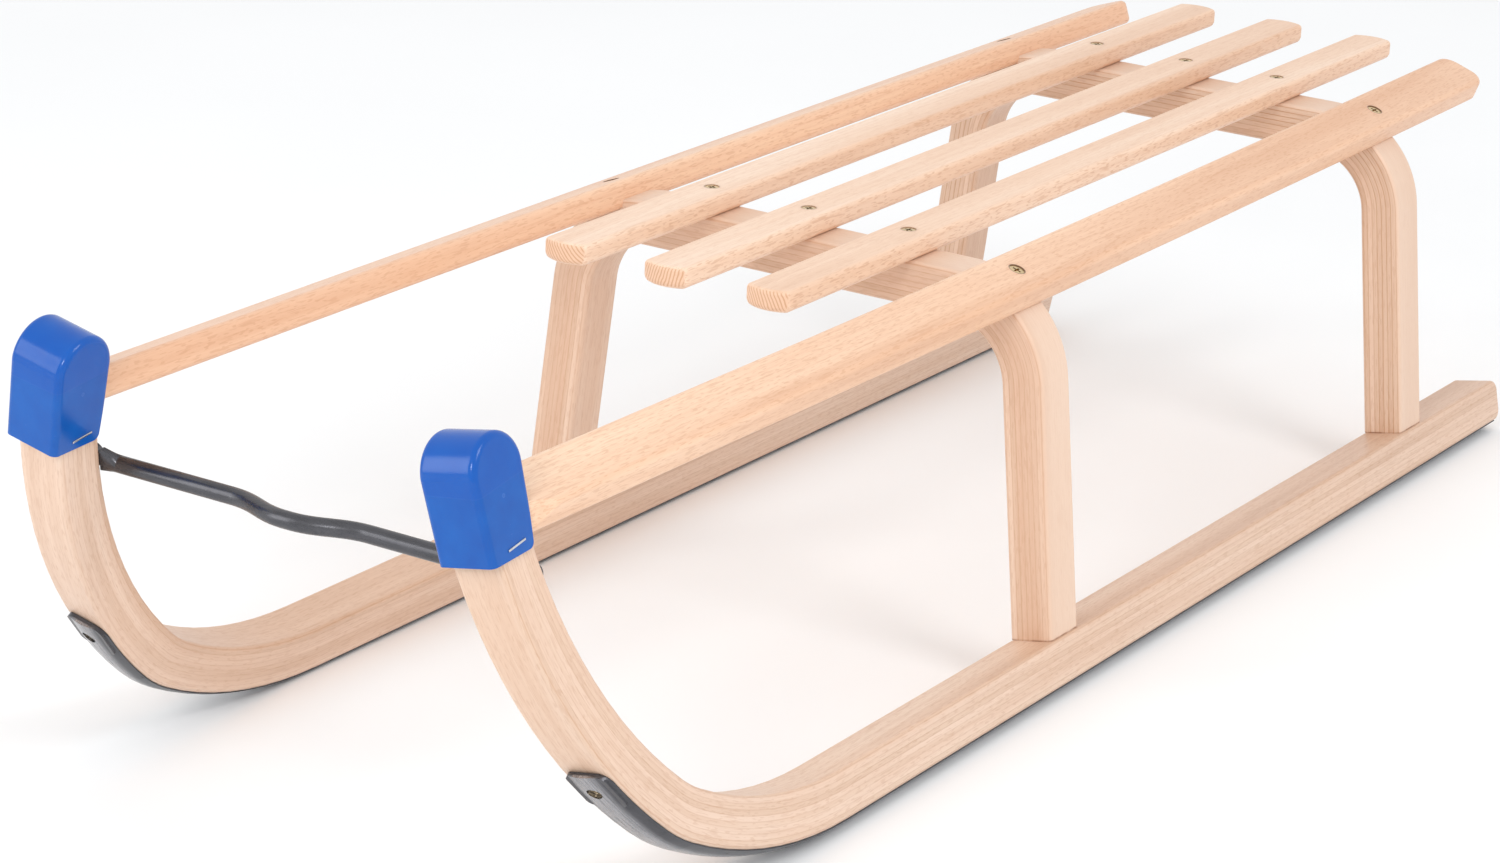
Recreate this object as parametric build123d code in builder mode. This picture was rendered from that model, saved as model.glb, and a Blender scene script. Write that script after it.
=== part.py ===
from build123d import *
from math import sin, cos, tan, asin, atan, degrees, radians, sqrt
import os

# Bent-beech touring sled. X forward (toward the turned-up tips), Y left, Z up.
# The origin is on the ground, under the centre of the bounding box. Millimetres.

# ---------------------------------------------------------------- dimensions
seat_height = 244.0          # top of the slats above the ground
mid_x = -176.0               # station halfway between the two bows
bow_spacing = 454.0          # front bow to rear bow
front_x = mid_x + bow_spacing / 2
rear_x = mid_x - bow_spacing / 2

slat_length = 747.8
slat_width = 27.5
slat_thick = 12.5
slat_pitch = 65.0
slat_end_bulge = 4.5         # convex ends, seen from above

bow_thick = 26.0             # across the laminations
bow_width = 31.0             # along the sled
bow_corner_r = 62.5          # outer radius of the two bends
leg_lean = 6.2               # splay of the legs, degrees
leg_foot_y = 182.0           # outer leg face, carried down to the ground
bow_edge_r = 3.0

runner_lean = 11.4           # tilt of the runner plane, degrees
runner_y = 172.0             # runner centre at the sole
runner_width = 29.0
runner_thick = 26.5
runner_rear = -532.5
runner_edge_r = 2.6
bend_x = 286.0               # where the sole leaves the snow
bend_r1, bend_a1 = 284.0, 28.0
bend_r2, bend_a2 = 104.0, 40.0
bend_r3, bend_a3 = 305.0, 85.0

shoe_width = 26.0
shoe_crown = 4.4
shoe_skin = 1.8
shoe_rear = runner_rear + 7.0
shoe_tip_angle = 51.5

rail_lean = 19.6             # outward tilt of the armrest rails, degrees
rail_width = 32.3
rail_thick = 15.8
rail_y = 132.2
rail_z = 227.2
rail_rear = -547.0
rail_mid = -15.0
rail_bulge = 2.7             # rails bow outward a little
rail_edge_r = 3.6

cap_width = 32.4
cap_wall = 1.5
cap_arc_x, cap_arc_v, cap_arc_r = 530.9, 248.1, 19.0

bar_d = 9.0
bar_x = 500.0
bar_z = 189.3
bar_crank = 9.5
bar_tab_v = 192.4            # height of the flattened ends on the runners
bar_tab_thick = 4.6
bar_tab_high = 13.0

# ---------------------------------------------------------------- helper geometry
lean = radians(runner_lean)
shoe_lip = 0.6
shoe_r = ((shoe_width / 2) ** 2 + (shoe_crown - shoe_lip) ** 2) / (2 * (shoe_crown - shoe_lip))
sole_lift = shoe_r - (shoe_r - shoe_crown) * cos(lean)   # the shoe's lowest line is z = 0
run_u = Vector(0, cos(lean), sin(lean))          # across the left runner, outward
run_v = Vector(0, -sin(lean), cos(lean))         # up the left runner
run_o = Vector(0, runner_y, sole_lift)
side_plane = Plane(origin=run_o, x_dir=(1, 0, 0), z_dir=(0, -cos(lean), -sin(lean)))


def at(x, v, u=0.0):
    """Point of the left runner frame: x forward, v up the runner, u outward."""
    return run_o + Vector(x, 0, 0) + run_v * v + run_u * u


# centres and joints of the three arcs of the sole line, in (x, v)
c1 = (bend_x, bend_r1)
p1 = (c1[0] + bend_r1 * sin(radians(bend_a1)), c1[1] - bend_r1 * cos(radians(bend_a1)))
c2 = (p1[0] - bend_r2 * sin(radians(bend_a1)), p1[1] + bend_r2 * cos(radians(bend_a1)))
p2 = (c2[0] + bend_r2 * sin(radians(bend_a2)), c2[1] - bend_r2 * cos(radians(bend_a2)))
c3 = (p2[0] - bend_r3 * sin(radians(bend_a2)), p2[1] + bend_r3 * cos(radians(bend_a2)))


def sole(angle, depth=0.0):
    """Point on the front bend where the sole points `angle` up; depth into the wood."""
    a = radians(angle)
    if angle <= bend_a1:
        c, r = c1, bend_r1
    elif angle <= bend_a2:
        c, r = c2, bend_r2
    else:
        c, r = c3, bend_r3
    return (c[0] + (r - depth) * sin(a), c[1] - (r - depth) * cos(a))


def bend_plane(angle, depth=0.0):
    """Plane on the front bend: local X across the runner, local Z into the wood."""
    a = radians(angle)
    x, v = sole(angle, depth)
    return Plane(
        origin=at(x, v),
        x_dir=run_u,
        z_dir=Vector(-sin(a), 0, 0) + run_v * cos(a),
    )


def floor_plane(x, depth=0.0):
    """Plane on the straight sole, local Z into the wood."""
    return Plane(origin=at(x, depth), x_dir=run_u, z_dir=run_v)


# ---------------------------------------------------------------- fasteners
def wood_screw(head_d, shank_d, length, head_h):
    """Countersunk cross-head wood screw, head face at z = 0, pointing down -Z."""
    with BuildPart() as screw:
        with BuildSketch(Plane.XZ) as profile:
            with BuildLine():
                Polyline(
                    (0, 0), (head_d / 2, 0), (head_d / 2, -0.5),
                    (shank_d / 2, -head_h), (shank_d / 2, -length + 5),
                    (0, -length), (0, 0),
                )
            make_face()
        revolve(axis=Axis.Z)
        with BuildSketch() as cross:
            Rectangle(head_d * 0.56, head_d * 0.13)
            Rectangle(head_d * 0.13, head_d * 0.56)
        extrude(amount=-head_h * 0.62, mode=Mode.SUBTRACT)
    return screw.part


seat_screw = wood_screw(8.4, 3.9, 34.0, 2.9)
rail_screw = wood_screw(9.0, 4.3, 38.0, 3.1)
shoe_screw = wood_screw(8.0, 3.9, 22.0, 2.8)
foot_screw = wood_screw(8.6, 4.3, 44.0, 3.0)
horn_screw = wood_screw(9.0, 4.3, 62.0, 3.1)


def screw_hole(head_d, shank_d, length, head_h, above=12.0):
    """Space one screw takes: countersink, driver access above it and pilot hole."""
    with BuildPart() as hole:
        with BuildSketch(Plane.XZ) as profile:
            with BuildLine():
                Polyline(
                    (0, above), (head_d / 2 + 0.05, above), (head_d / 2 + 0.05, -0.5),
                    (shank_d / 2 + 0.05, -head_h), (shank_d / 2 + 0.05, -length + 4.9),
                    (0, -length - 0.2), (0, above),
                )
            make_face()
        revolve(axis=Axis.Z)
    return hole.part


seat_hole = screw_hole(8.4, 3.9, 34.0, 2.9)
rail_hole = screw_hole(9.0, 4.3, 38.0, 3.1)
shoe_hole = screw_hole(8.0, 3.9, 22.0, 2.8)
foot_hole = screw_hole(8.6, 4.3, 44.0, 3.0)
horn_hole = screw_hole(9.0, 4.3, 62.0, 3.1)

# where each screw sits (local -Z is the driving direction)
seat_screw_places = [
    Location((x, y, seat_height - 0.35))
    for x in (front_x, rear_x)
    for y in (-slat_pitch, 0, slat_pitch)
]

tilt = radians(rail_lean)
rail_n = Vector(0, sin(tilt), cos(tilt))         # normal of the left rail's top face
rail_out = Vector(0, cos(tilt), -sin(tilt))      # across the left rail, outward
rail_plane = Plane(
    origin=Vector(0, rail_y, rail_z) - rail_n * (rail_thick / 2),
    x_dir=(1, 0, 0), z_dir=rail_n,
)


def on_rail(x, across, height):
    return Vector(x, rail_y, rail_z) + rail_out * across + rail_n * height


def place(plane_origin, z_dir, x_dir=(1, 0, 0)):
    return Plane(origin=plane_origin, x_dir=x_dir, z_dir=z_dir).location


rail_screw_places = [
    place(on_rail(x, -0.6, rail_thick / 2 - 0.5), rail_n) for x in (front_x, rear_x)
]
foot_screw_places = [
    Plane(origin=at(x, 0.4), x_dir=(1, 0, 0), z_dir=run_v * -1).location
    for x in (front_x, rear_x)
]
shoe_straight_x = (-505.0, -290.0, -66.0, 180.0)
shoe_screw_places = [
    Plane(origin=at(x, -shoe_crown + 1.3), x_dir=(1, 0, 0), z_dir=run_v * -1).location
    for x in shoe_straight_x
]
tip_screw_angle = shoe_tip_angle - 2.7
a_tip = radians(tip_screw_angle)
tip_x, tip_v = sole(tip_screw_angle, -2.3)
shoe_screw_places.append(
    Plane(origin=at(tip_x, tip_v), x_dir=run_u,
          z_dir=Vector(sin(a_tip), 0, 0) + run_v * -cos(a_tip)).location
)

# ---------------------------------------------------------------- runner (left)
horn_v = 225.0               # height of the rail end on the runner
horn_x = c3[0] + sqrt(bend_r3 ** 2 - (c3[1] - horn_v) ** 2)
horn_back_x = c3[0] + sqrt((bend_r3 - runner_thick) ** 2 - (c3[1] - horn_v) ** 2)
horn_screw_place = Plane(
    origin=at(horn_x - 2.6, horn_v + 0.6, 1.6), x_dir=(0, 1, 0), z_dir=(1, 0, 0)
).location

with BuildPart() as runner_left:
    with BuildSketch(side_plane) as profile:
        with BuildLine() as outline:
            Line((runner_rear, 0), (bend_x, 0))
            RadiusArc((bend_x, 0), p1, -bend_r1)
            RadiusArc(p1, p2, -bend_r2)
            RadiusArc(p2, sole(bend_a3), -bend_r3)
            Line(sole(bend_a3), sole(bend_a3, runner_thick))
            RadiusArc(sole(bend_a3, runner_thick), sole(bend_a2, runner_thick),
                      bend_r3 - runner_thick)
            RadiusArc(sole(bend_a2, runner_thick),
                      (c2[0] + (bend_r2 - runner_thick) * sin(radians(bend_a1)),
                       c2[1] - (bend_r2 - runner_thick) * cos(radians(bend_a1))),
                      bend_r2 - runner_thick)
            RadiusArc((c2[0] + (bend_r2 - runner_thick) * sin(radians(bend_a1)),
                       c2[1] - (bend_r2 - runner_thick) * cos(radians(bend_a1))),
                      (bend_x, runner_thick), bend_r1 - runner_thick)
            Line((bend_x, runner_thick), (runner_rear, runner_thick))
            Line((runner_rear, runner_thick), (runner_rear, 0))
        make_face()
        # eased rear end, as if planed round
        rear_corners = profile.vertices().sort_by(Axis.X)[:2]
        fillet(rear_corners, radius=7)
        horn_corners = profile.vertices().sort_by(Axis.Y)[-2:]
        fillet(horn_corners, radius=7)
    extrude(amount=runner_width / 2, both=True)
    side_faces = runner_left.faces().filter_by(Plane(side_plane.origin, z_dir=side_plane.z_dir))
    fillet(side_faces.edges(), radius=runner_edge_r)
    # mortises for the bow tenons
    for x in (front_x, rear_x):
        with BuildSketch(floor_plane(x, runner_thick)) as mortise:
            Rectangle(14.2, 20.2)
        extrude(amount=-16.4, mode=Mode.SUBTRACT)
    with Locations(*foot_screw_places):
        add(foot_hole, mode=Mode.SUBTRACT)
    with Locations(*shoe_screw_places):
        add(shoe_hole, mode=Mode.SUBTRACT)
    with Locations(horn_screw_place):
        add(horn_hole, mode=Mode.SUBTRACT)

# ---------------------------------------------------------------- steel shoe (left)
tip_back_angle = shoe_tip_angle - 5.6     # the tip is solid and pressed flat from here

with BuildPart() as shoe_left:
    with BuildLine() as shoe_path:
        Line(at(shoe_rear, 0), at(bend_x, 0))
        ThreePointArc(at(bend_x, 0), at(*sole(bend_a1 / 2)), at(*p1))
        ThreePointArc(at(*p1), at(*sole((bend_a1 + bend_a2) / 2)), at(*p2))
        ThreePointArc(at(*p2), at(*sole((bend_a2 + shoe_tip_angle) / 2)),
                      at(*sole(shoe_tip_angle)))
    with BuildSketch(Plane(origin=at(shoe_rear, 0), x_dir=run_u, z_dir=(1, 0, 0))) as strip:
        with BuildLine():
            Line((-shoe_width / 2, 0), (-shoe_width / 2 + 2.6, 0))
            ThreePointArc((-shoe_width / 2 + 2.6, 0), (0, -shoe_crown + shoe_skin),
                          (shoe_width / 2 - 2.6, 0))
            Line((shoe_width / 2 - 2.6, 0), (shoe_width / 2, 0))
            Line((shoe_width / 2, 0), (shoe_width / 2, -shoe_lip))
            ThreePointArc((shoe_width / 2, -shoe_lip), (0, -shoe_crown),
                          (-shoe_width / 2, -shoe_lip))
            Line((-shoe_width / 2, -shoe_lip), (-shoe_width / 2, 0))
        make_face()
    sweep(path=shoe_path.wires()[0])
    # bosses that carry the hidden screws through the hollow
    for x in shoe_straight_x:
        with BuildSketch(floor_plane(x, -shoe_crown + 1.0)):
            Circle(5.4)
        extrude(amount=shoe_crown - 1.0)
    # pressed-flat tip
    with BuildSketch(bend_plane(tip_back_angle + 2.8)) as tip_pad:
        RectangleRounded(shoe_width - 3.0, 27, 4)
    extrude(amount=-2.6)
    add(runner_left.part, mode=Mode.SUBTRACT)
    # rounded end, seen square to the sole
    with BuildSketch(bend_plane(shoe_tip_angle)) as end_cut:
        with Locations((0, 8)):
            Rectangle(40, 18)
        with Locations((0, 18)):
            RectangleRounded(shoe_width, 36, 9.5, mode=Mode.SUBTRACT)
    extrude(amount=7, both=True, mode=Mode.SUBTRACT)
    with Locations(*shoe_screw_places):
        add(shoe_hole, mode=Mode.SUBTRACT)

# ---------------------------------------------------------------- armrest rail (left)
rail_front = 545.0
rail_straight_x = 430.0      # the front of the rail is straight from here
rail_arc_r = ((rail_mid - rail_rear) ** 2 + rail_bulge ** 2) / (2 * rail_bulge)


def rail_line(x, edge):
    """Point of the rail's plan outline; edge is +1 outer or -1 inner."""
    xs = min(x, rail_straight_x)
    sink = rail_arc_r - sqrt(rail_arc_r ** 2 - (xs - rail_mid) ** 2)
    slope = (xs - rail_mid) / sqrt(rail_arc_r ** 2 - (xs - rail_mid) ** 2)
    return (x, edge * rail_width / 2 - sink - slope * (x - xs))


with BuildPart() as rail_left:
    with BuildSketch(rail_plane) as plan:
        with BuildLine():
            ThreePointArc(rail_line(rail_rear, 1), rail_line(rail_mid, 1),
                          rail_line(rail_straight_x, 1))
            Line(rail_line(rail_straight_x, 1), rail_line(rail_front, 1))
            Line(rail_line(rail_front, 1), rail_line(rail_front, -1))
            Line(rail_line(rail_front, -1), rail_line(rail_straight_x, -1))
            ThreePointArc(rail_line(rail_straight_x, -1), rail_line(rail_mid, -1),
                          rail_line(rail_rear, -1))
            Line(rail_line(rail_rear, -1), rail_line(rail_rear, 1))
        make_face()
        fillet(plan.vertices().sort_by(Axis.X)[:2], radius=11)
    extrude(amount=rail_thick)
    # butt end, cut straight to bear on the back of the runner horn
    def horn_back(v):
        return c3[0] + sqrt((bend_r3 - runner_thick) ** 2 - (c3[1] - v) ** 2)

    butt_low, butt_high = 209.5, 243.0
    butt_slope = (horn_back(butt_high) - horn_back(butt_low)) / (butt_high - butt_low)
    with BuildSketch(side_plane) as butt:
        with BuildLine():
            Polyline(
                (horn_back(butt_low) - 0.05 - 30 * butt_slope, butt_low - 30),
                (horn_back(butt_high) - 0.05 + 30 * butt_slope, butt_high + 30),
                (640, butt_high + 30), (640, butt_low - 30),
                (horn_back(butt_low) - 0.05 - 30 * butt_slope, butt_low - 30),
            )
        make_face()
    extrude(amount=45, both=True, mode=Mode.SUBTRACT)
    rail_faces = rail_left.faces().filter_by(rail_plane)
    fillet(rail_faces.edges().filter_by(lambda e: e.center().X < 500),
           radius=rail_edge_r)
    # outer corner eased so that the end passes inside the cap's flank
    with BuildSketch(Plane(origin=run_o + run_v * 230, x_dir=(1, 0, 0), z_dir=run_v)):
        with BuildLine():
            Polyline((484, 22.0), (512.4, 14.6), (565, 14.6), (565, 50), (484, 50), (484, 22.0))
        make_face()
    extrude(amount=45, both=True, mode=Mode.SUBTRACT)
    with Locations(*rail_screw_places):
        add(rail_hole, mode=Mode.SUBTRACT)
    with Locations(horn_screw_place):
        add(horn_hole, mode=Mode.SUBTRACT)
with BuildPart() as rail_right:
    mirror(rail_left.part, about=Plane.XZ)

# ---------------------------------------------------------------- seat slats
def seat_slat(y):
    with BuildPart() as slat:
        with BuildSketch(Plane(origin=(mid_x, y, seat_height - slat_thick))) as plan:
            half = slat_length / 2
            w = slat_width / 2
            with BuildLine():
                Line((-half + slat_end_bulge, w), (half - slat_end_bulge, w))
                ThreePointArc((half - slat_end_bulge, w), (half, 0), (half - slat_end_bulge, -w))
                Line((half - slat_end_bulge, -w), (-half + slat_end_bulge, -w))
                ThreePointArc((-half + slat_end_bulge, -w), (-half, 0),
                              (-half + slat_end_bulge, w))
            make_face()
            fillet(plan.vertices(), radius=3.5)
        extrude(amount=slat_thick)
        fillet(slat.faces().sort_by(Axis.Z)[-1].edges(), radius=2.6)
        fillet(slat.faces().sort_by(Axis.Z)[0].edges(), radius=4.2)
        with Locations(*seat_screw_places):
            add(seat_hole, mode=Mode.SUBTRACT)
    return slat


seat_slat_left = seat_slat(slat_pitch)
seat_slat_centre = seat_slat(0)
seat_slat_right = seat_slat(-slat_pitch)

# ---------------------------------------------------------------- bows
bow_top = seat_height - slat_thick
leg_slope = tan(radians(leg_lean))
rail_screw_right = [
    Plane(origin=(p.position.X, -p.position.Y, p.position.Z), x_dir=(1, 0, 0),
          z_dir=(0, -rail_n.Y, rail_n.Z)).location
    for p in rail_screw_places
]
lean_right = Vector(0, sin(lean), cos(lean))
foot_screw_right = [
    Plane(origin=(p.position.X, -p.position.Y, p.position.Z), x_dir=(1, 0, 0),
          z_dir=lean_right * -1).location
    for p in foot_screw_places
]


def bow(x):
    with BuildPart() as arch:
        with BuildSketch(Plane.YZ.offset(x)) as front_view:
            zb = 5.0
            outer_low = leg_foot_y - zb * leg_slope
            outer_top = leg_foot_y - bow_top * leg_slope
            with BuildLine():
                Polyline((-outer_low, zb), (outer_low, zb), (outer_top, bow_top),
                         (-outer_top, bow_top), (-outer_low, zb))
            make_face()
            fillet(front_view.vertices().sort_by(Axis.Y)[-2:], radius=bow_corner_r)
            shift = bow_thick / cos(radians(leg_lean))
            inner_low = leg_foot_y - shift - (zb - 10) * leg_slope
            inner_top = leg_foot_y - shift - (bow_top - bow_thick) * leg_slope
            with BuildSketch(mode=Mode.SUBTRACT) as gap:
                with BuildLine():
                    Polyline((-inner_low, zb - 10), (inner_low, zb - 10),
                             (inner_top, bow_top - bow_thick),
                             (-inner_top, bow_top - bow_thick), (-inner_low, zb - 10))
                make_face()
                fillet(gap.vertices().sort_by(Axis.Y)[-2:], radius=bow_corner_r - bow_thick)
        extrude(amount=bow_width / 2, both=True)
        faces = arch.faces().filter_by(Plane.YZ)
        fillet(faces.edges(), radius=bow_edge_r)
        # feet cut to the runner tops, leaving a tenon on each
        for side in (1, -1):
            foot = Plane(
                origin=(x, side * at(x, runner_thick).Y, at(x, runner_thick).Z),
                x_dir=(1, 0, 0), z_dir=(0, side * run_v.Y, run_v.Z),
            )
            with BuildSketch(foot):
                Rectangle(60, 80)
                Rectangle(20, 14, mode=Mode.SUBTRACT)
            extrude(amount=-16, mode=Mode.SUBTRACT)
            with BuildSketch(foot.offset(-16)):
                Rectangle(60, 80)
            extrude(amount=-60, mode=Mode.SUBTRACT)
        # housings for the rails, cut along the run of each rail
        drift = rail_bulge * ((x - rail_mid) / (rail_mid - rail_rear)) ** 2
        slope = -2 * rail_bulge * (x - rail_mid) / (rail_mid - rail_rear) ** 2
        run = (Vector(1, 0, 0) + rail_out * slope).normalized()
        seat = on_rail(x, -drift, 0)
        for side in (1, -1):
            along = Vector(run.X, side * run.Y, run.Z)
            across = rail_n.cross(run)
            across = Vector(across.X, side * across.Y, across.Z)
            with BuildSketch(Plane(origin=(x, side * seat.Y, seat.Z), x_dir=across,
                                   z_dir=along)):
                RectangleRounded(rail_width + 0.1, rail_thick + 0.1, rail_edge_r + 0.02)
            extrude(amount=24, both=True, mode=Mode.SUBTRACT)
        with Locations(*seat_screw_places):
            add(seat_hole, mode=Mode.SUBTRACT)
        with Locations(*rail_screw_places, *rail_screw_right):
            add(rail_hole, mode=Mode.SUBTRACT)
        with Locations(*foot_screw_places, *foot_screw_right):
            add(foot_hole, mode=Mode.SUBTRACT)
    return arch


front_bow = bow(front_x)
rear_bow = bow(rear_x)

# ---------------------------------------------------------------- pull bar
tab_n = (c3[1] - bar_tab_v) / (bend_r3 - runner_thick)
tab_angle = 90 - degrees(asin(tab_n))
tab_plane = bend_plane(tab_angle, runner_thick)      # local Z points away from the wood
tab_normal = tab_plane.z_dir
tab_back = tab_plane.offset(bar_tab_thick)
round_end = 112.0
bar_screw_u = 1.5

with BuildPart() as pull_bar:
    with BuildLine() as bar_line:
        Line((bar_x + bar_crank, 0, bar_z), (bar_x + bar_crank, 1.5, bar_z))
        Spline((bar_x + bar_crank, 1.5, bar_z), (bar_x, 42, bar_z),
               tangents=((0, 1, 0), (0, 1, 0)))
        Line((bar_x, 42, bar_z), (bar_x, round_end, bar_z))
    with BuildSketch(Plane(origin=(bar_x + bar_crank, 0, bar_z), x_dir=(1, 0, 0),
                           z_dir=(0, 1, 0))):
        Circle(bar_d / 2)
    sweep(path=bar_line.wires()[0])
    # end pressed flat and bent on to the back of the runner
    neck = Plane(origin=at(sole(tab_angle, runner_thick)[0], bar_tab_v, -13.5)
                 + tab_normal * (bar_tab_thick / 2), x_dir=tab_normal, z_dir=run_u)
    with BuildSketch(Plane(origin=(bar_x, round_end, bar_z), x_dir=(1, 0, 0),
                           z_dir=(0, 1, 0))):
        Circle(bar_d / 2)
    with BuildSketch(neck):
        RectangleRounded(bar_tab_thick, bar_tab_high, 1.2)
    loft()
    with BuildSketch(tab_plane) as tab:
        with Locations((-2.0, 0)):
            SlotOverall(23.5, bar_tab_high)
    extrude(amount=bar_tab_thick)
    with BuildSketch(tab_back):
        with Locations((bar_screw_u, 0)):
            Circle(2.6)
    extrude(amount=-bar_tab_thick, mode=Mode.SUBTRACT)
    add(runner_left.part, mode=Mode.SUBTRACT)
    mirror(about=Plane.XZ)

bar_screw_place = Plane(origin=tab_back.origin + run_u * bar_screw_u, x_dir=run_u,
                        z_dir=tab_normal)
with BuildPart() as bar_bolt:
    with BuildSketch(bar_screw_place):
        RegularPolygon(4.0, 6, major_radius=False)
    extrude(amount=3.6)
    chamfer(bar_bolt.faces().sort_by(Axis(bar_screw_place.origin, tab_normal))[-1].edges(),
            length=0.5)
    with BuildSketch(bar_screw_place):
        Circle(2.5)
    extrude(amount=-(bar_tab_thick + 19.0))
with BuildPart() as bar_bolt_right:
    mirror(bar_bolt.part, about=Plane.XZ)
with BuildPart() as bar_bolt_hole:
    with BuildSketch(bar_screw_place):
        Circle(2.55)
    extrude(amount=-(bar_tab_thick + 19.3))
with BuildPart() as pull_bar_screws:
    add(bar_bolt.part)
    add(bar_bolt_right.part)

# ---------------------------------------------------------------- tip caps
cap_u = 0.0
cap_front_low = (544.6, 206.2)
cap_rear_low = (513.4, 208.2)
with BuildPart() as tip_cap_left:
    with BuildSketch(side_plane) as outline:
        with BuildLine():
            Line(cap_front_low, (cap_arc_x + cap_arc_r, cap_arc_v))
            ThreePointArc((cap_arc_x + cap_arc_r, cap_arc_v),
                          (cap_arc_x, cap_arc_v + cap_arc_r),
                          (cap_arc_x - cap_arc_r, cap_arc_v))
            Polyline((cap_arc_x - cap_arc_r, cap_arc_v), (511.2, 232.0), (512.6, 230.6),
                     cap_rear_low, cap_front_low)
        make_face()
        rear_corner = outline.vertices().sort_by_distance((cap_rear_low[0], cap_rear_low[1], 0))[0]
        fillet(rear_corner, radius=3.5)
    extrude(amount=cap_width / 2, both=True)
    flanks = tip_cap_left.faces().filter_by(side_plane)
    soft = flanks.edges().filter_by(
        lambda e: e.center().X > 522 and (e.center() - run_o).dot(run_v) > 215
    )
    fillet(soft, radius=3.4)
    # hollow for the runner horn, open below and behind
    with BuildSketch(side_plane) as hollow:
        with BuildLine():
            ri = cap_arc_r - 2.2
            Line((cap_front_low[0] - 3.2, 190), (cap_arc_x + ri, cap_arc_v))
            ThreePointArc((cap_arc_x + ri, cap_arc_v), (cap_arc_x, cap_arc_v + ri),
                          (cap_arc_x - ri, cap_arc_v))
            Polyline((cap_arc_x - ri, cap_arc_v), (cap_arc_x - ri, 243.5), (495, 243.5),
                     (495, 190), (cap_front_low[0] - 3.2, 190))
        make_face()
    extrude(amount=cap_width / 2 - cap_wall, both=True, mode=Mode.SUBTRACT)
with BuildPart() as tip_cap_right:
    mirror(tip_cap_left.part, about=Plane.XZ)

# ---------------------------------------------------------------- cap staples
staple_a, staple_b = (532.8, 211.6), (519.6, 213.8)
staple_dx, staple_dv = staple_b[0] - staple_a[0], staple_b[1] - staple_a[1]
staple_len = sqrt(staple_dx ** 2 + staple_dv ** 2)
staple_dir = Vector(1, 0, 0) * (staple_dx / staple_len) + run_v * (staple_dv / staple_len)


def staple_on(sign):
    """Wire staple through a flank of the left cap; sign +1 is the outer flank."""
    mid = at((staple_a[0] + staple_b[0]) / 2, (staple_a[1] + staple_b[1]) / 2,
             sign * cap_width / 2)
    face = Plane(origin=mid, x_dir=staple_dir, z_dir=run_u * sign)
    with BuildPart() as staple:
        with BuildSketch(face):
            Rectangle(staple_len, 1.1)
        extrude(amount=0.7)
        edge = staple.edges().sort_by(Axis(mid, run_u * sign))[-4:]
        fillet(edge, radius=0.3)
        with BuildSketch(face):
            with Locations((-staple_len / 2 + 0.4, 0), (staple_len / 2 - 0.4, 0)):
                Rectangle(0.8, 1.1)
        extrude(amount=-8.0)
    with BuildPart() as slots:
        with BuildSketch(face):
            with Locations((-staple_len / 2 + 0.4, 0), (staple_len / 2 - 0.4, 0)):
                Rectangle(0.86, 1.16)
        extrude(amount=-8.1)
    return staple.part, slots.part


staple_outer, slots_outer = staple_on(1)
staple_inner, slots_inner = staple_on(-1)
with BuildPart() as staples_left_pair:
    add(staple_outer)
    add(staple_inner)
with BuildPart() as cap_staples:
    add(staples_left_pair.part)
    mirror(staples_left_pair.part, about=Plane.XZ)

# legs of the staples and the bar screws pass into the wood
with BuildPart() as runner_bored:
    add(runner_left.part)
    add(slots_outer, mode=Mode.SUBTRACT)
    add(slots_inner, mode=Mode.SUBTRACT)
    add(bar_bolt_hole.part, mode=Mode.SUBTRACT)
runner_left = runner_bored
with BuildPart() as cap_bored:
    add(tip_cap_left.part)
    add(slots_outer, mode=Mode.SUBTRACT)
    add(slots_inner, mode=Mode.SUBTRACT)
tip_cap_left = cap_bored
with BuildPart() as tip_cap_right:
    mirror(tip_cap_left.part, about=Plane.XZ)
with BuildPart() as runner_right:
    mirror(runner_left.part, about=Plane.XZ)
with BuildPart() as shoe_right:
    mirror(shoe_left.part, about=Plane.XZ)

# ---------------------------------------------------------------- screws, grouped
with BuildPart() as seat_slat_screws:
    with Locations(*seat_screw_places):
        add(seat_screw)
with BuildPart() as rail_screws:
    with Locations(*rail_screw_places, *rail_screw_right):
        add(rail_screw)
with BuildPart() as bow_foot_screws:
    with Locations(*foot_screw_places, *foot_screw_right):
        add(foot_screw)
with BuildPart() as shoe_screws_left:
    with Locations(*shoe_screw_places):
        add(shoe_screw)
with BuildPart() as shoe_screws_right:
    mirror(shoe_screws_left.part, about=Plane.XZ)
with BuildPart() as horn_screw_left:
    with Locations(horn_screw_place):
        add(horn_screw)
with BuildPart() as horn_screws:
    add(horn_screw_left.part)
    mirror(horn_screw_left.part, about=Plane.XZ)

# ---------------------------------------------------------------- export
os.makedirs("parts", exist_ok=True)

runner_left.part.label = "runner_left"
runner_right.part.label = "runner_right"
shoe_left.part.label = "shoe_left"
shoe_right.part.label = "shoe_right"
front_bow.part.label = "front_bow"
rear_bow.part.label = "rear_bow"
rail_left.part.label = "rail_left"
rail_right.part.label = "rail_right"
seat_slat_left.part.label = "seat_slat_left"
seat_slat_centre.part.label = "seat_slat_centre"
seat_slat_right.part.label = "seat_slat_right"
tip_cap_left.part.label = "tip_cap_left"
tip_cap_right.part.label = "tip_cap_right"
cap_staples.part.label = "cap_staples"
pull_bar.part.label = "pull_bar"
pull_bar_screws.part.label = "pull_bar_screws"
seat_slat_screws.part.label = "seat_slat_screws"
rail_screws.part.label = "rail_screws"
bow_foot_screws.part.label = "bow_foot_screws"
shoe_screws_left.part.label = "shoe_screws_left"
shoe_screws_right.part.label = "shoe_screws_right"
horn_screws.part.label = "horn_screws"

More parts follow.
